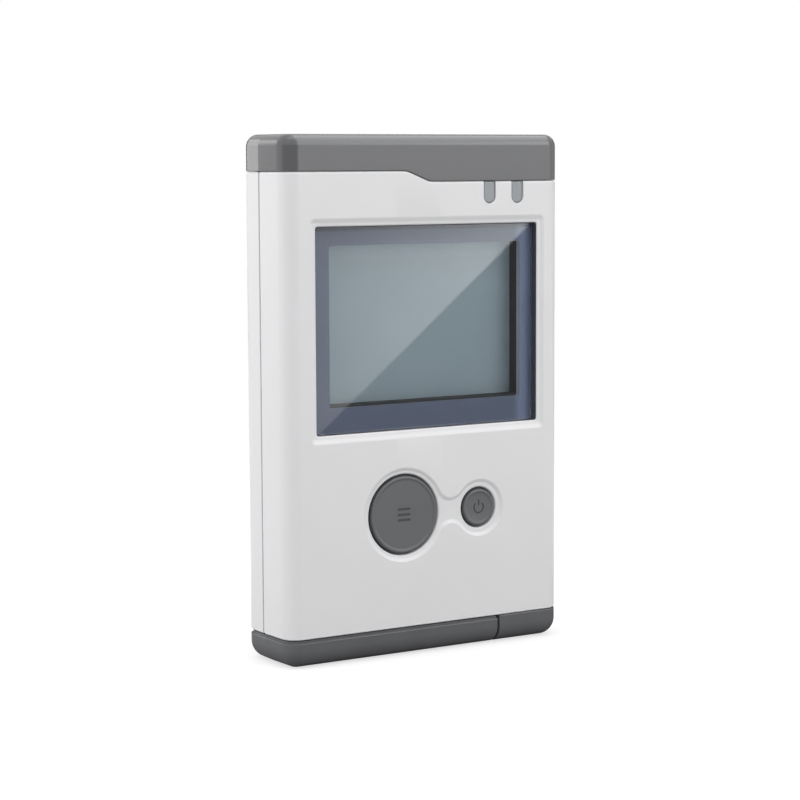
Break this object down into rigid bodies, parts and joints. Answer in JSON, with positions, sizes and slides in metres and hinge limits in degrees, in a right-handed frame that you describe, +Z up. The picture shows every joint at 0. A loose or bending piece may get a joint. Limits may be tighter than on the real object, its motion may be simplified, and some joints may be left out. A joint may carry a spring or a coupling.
{
  "type": "ecg home monitor",
  "caption": "Handheld one-lead heart rhythm monitor: white housings, grey end caps, recessed display, two round keys, battery cover round the foot.",
  "frame": {"origin": "bottom centre of the body, on the plane it stands on", "axes": "+X to the viewer's right seen from the front, +Y to the back, +Z up"},
  "size_m": [0.066, 0.0184, 0.105],
  "materials": {
    "white_shell": "fine satin",
    "grey_cap": "semi gloss",
    "grey_foot": "semi gloss",
    "clear_window": "polished",
    "blue_grey_print": "printed",
    "black_foam": "foam",
    "lcd_face": "satin",
    "white_inner": "satin",
    "amber_film": "smooth",
    "grey_key": "satin",
    "black_plastic": "moulded",
    "indicator_grey": "translucent",
    "steel": "brushed",
    "gold_contact": "plated",
    "green_board": "solder mask",
    "tan_ceramic": "ceramic",
    "cell_jacket": "printed film"
  },
  "bodies": {
    "housing": {"front_housing": "white_shell", "rear_housing": "white_shell", "top_end_cap": "grey_cap", "bottom_corner_cap": "grey_foot", "display_window": "clear_window", "window_mask": "blue_grey_print", "display_gasket": "black_foam", "lcd_glass": "lcd_face", "lcd_backlight": "white_inner", "lcd_holder": "white_inner", "lcd_flex": "amber_film", "mode_switch": "steel", "power_switch": "steel", "indicator_window_left": "indicator_grey", "indicator_window_right": "indicator_grey", "indicator_leds": "white_inner", "electrode_left": "steel", "electrode_right": "steel", "electrode_contacts": "gold_contact", "main_board": "green_board", "key_board": "green_board", "key_ribbon": "white_inner", "ribbon_sockets": "white_inner", "microcontroller": "black_plastic", "amplifier_shield": "steel", "memory_chip": "black_plastic", "crystal": "steel", "capacitors": "tan_ceramic", "beeper": "black_plastic", "usb_socket": "steel", "battery_upper": "cell_jacket", "battery_lower": "cell_jacket", "battery_springs": "steel", "battery_contacts": "steel", "housing_screws": "steel", "board_screws": "steel"},
    "mode_key": {"mode_button": "grey_key", "mode_switch_plunger": "black_plastic"},
    "power_key": {"power_button": "grey_key", "power_switch_plunger": "black_plastic"},
    "cover": {"battery_cover": "grey_foot"}
  },
  "joints": [
    {"name": "mode_press", "type": "slide", "parent": "housing", "child": "mode_key", "axis": [0, 1, 0], "range_m": [0, 0.0003], "stiffness_N_per_m": 3000},
    {"name": "power_press", "type": "slide", "parent": "housing", "child": "power_key", "axis": [0, 1, 0], "range_m": [0, 0.0003], "stiffness_N_per_m": 3000},
    {"name": "cover_slide", "type": "slide", "parent": "housing", "child": "cover", "axis": [0, 0, -1], "range_m": [0, 0.03]}
  ]
}
